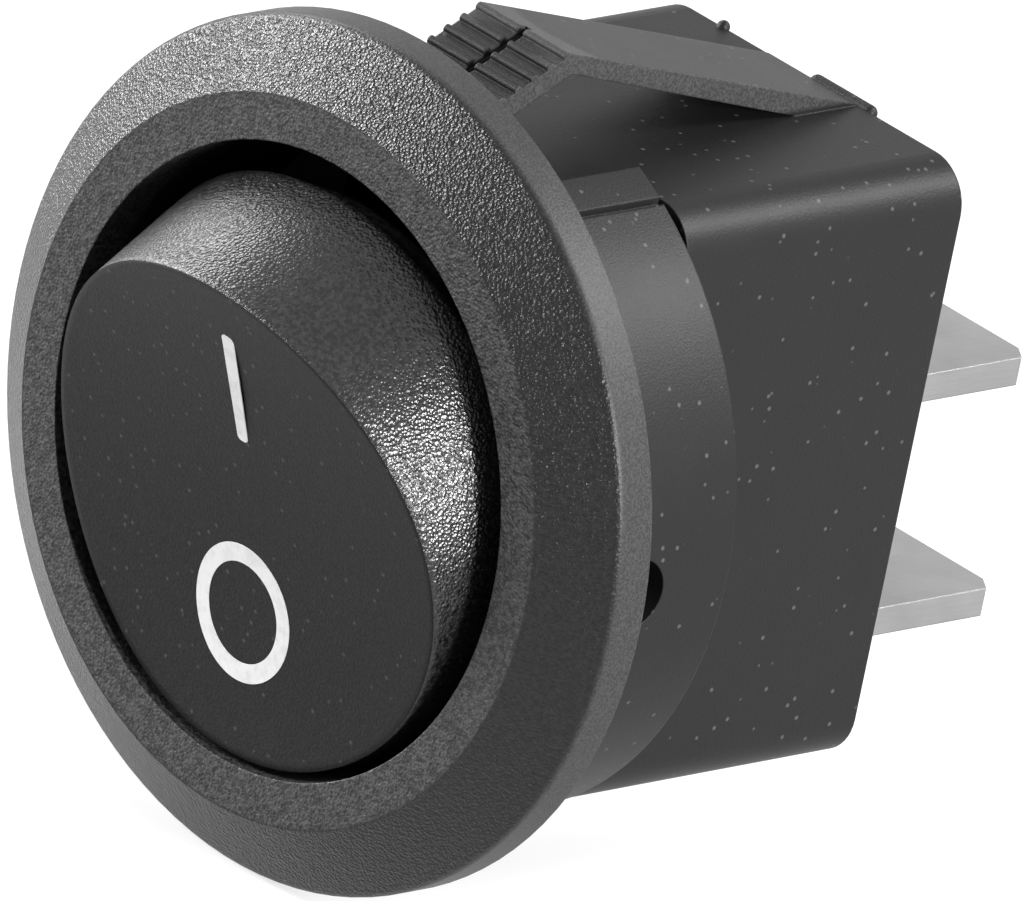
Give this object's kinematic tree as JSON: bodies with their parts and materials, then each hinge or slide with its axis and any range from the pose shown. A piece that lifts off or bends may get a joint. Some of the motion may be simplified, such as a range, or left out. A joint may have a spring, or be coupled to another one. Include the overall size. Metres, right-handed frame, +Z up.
{
  "type": "panel rocker switch",
  "caption": "Round on-off panel rocker switch with a bevelled bezel, a dished tipping rocker, a collar and box body with snap wings, and flat tab terminals at the rear.",
  "frame": {"origin": "centre of the flange's back face, which rests on the panel", "axes": "+Y into the panel along the switch's axis, +Z up towards the on mark, +X to the right seen from the front; the front faces -Y"},
  "size_m": [0.023, 0.0288, 0.023],
  "materials": {
    "housing": "black nylon, spark-eroded bezel and satin body",
    "rocker": "black nylon, fine matte face",
    "plunger": "natural nylon",
    "plunger_spring": "drawn spring wire",
    "see_saw_strip": "copper alloy strip",
    "moving_contact": "silver alloy",
    "common_terminal": "matte tin plate",
    "load_terminal": "matte tin plate",
    "fixed_contact": "silver alloy"
  },
  "bodies": {
    "base": {"housing": "housing", "common_terminal": "common_terminal", "load_terminal": "load_terminal", "fixed_contact": "fixed_contact"},
    "rocker": {"rocker": "rocker"},
    "plunger": {"plunger": "plunger", "plunger_spring": "plunger_spring"},
    "see_saw": {"see_saw_strip": "see_saw_strip", "moving_contact": "moving_contact"}
  },
  "joints": [
    {"name": "rocker_tilt", "type": "hinge", "parent": "base", "child": "rocker", "pos_m": [0, 0.0012, 0.00005], "axis": [-1, 0, 0], "range_deg": [0, 30.8]},
    {"name": "plunger_slide", "type": "slide", "parent": "rocker", "child": "plunger", "axis": [0, -0.9641, -0.2656], "range_m": [0, 0.0005], "stiffness_N_per_m": 300, "springref_m": -0.003, "deforming": ["plunger_spring"]},
    {"name": "see_saw_tilt", "type": "hinge", "parent": "base", "child": "see_saw", "pos_m": [0, 0.0092, 0.00005], "axis": [1, 0, 0], "range_deg": [0, 18]}
  ],
  "couplings": [
    {"joint": "see_saw_tilt", "follows": "rocker_tilt", "ratio": 0.58442}
  ]
}
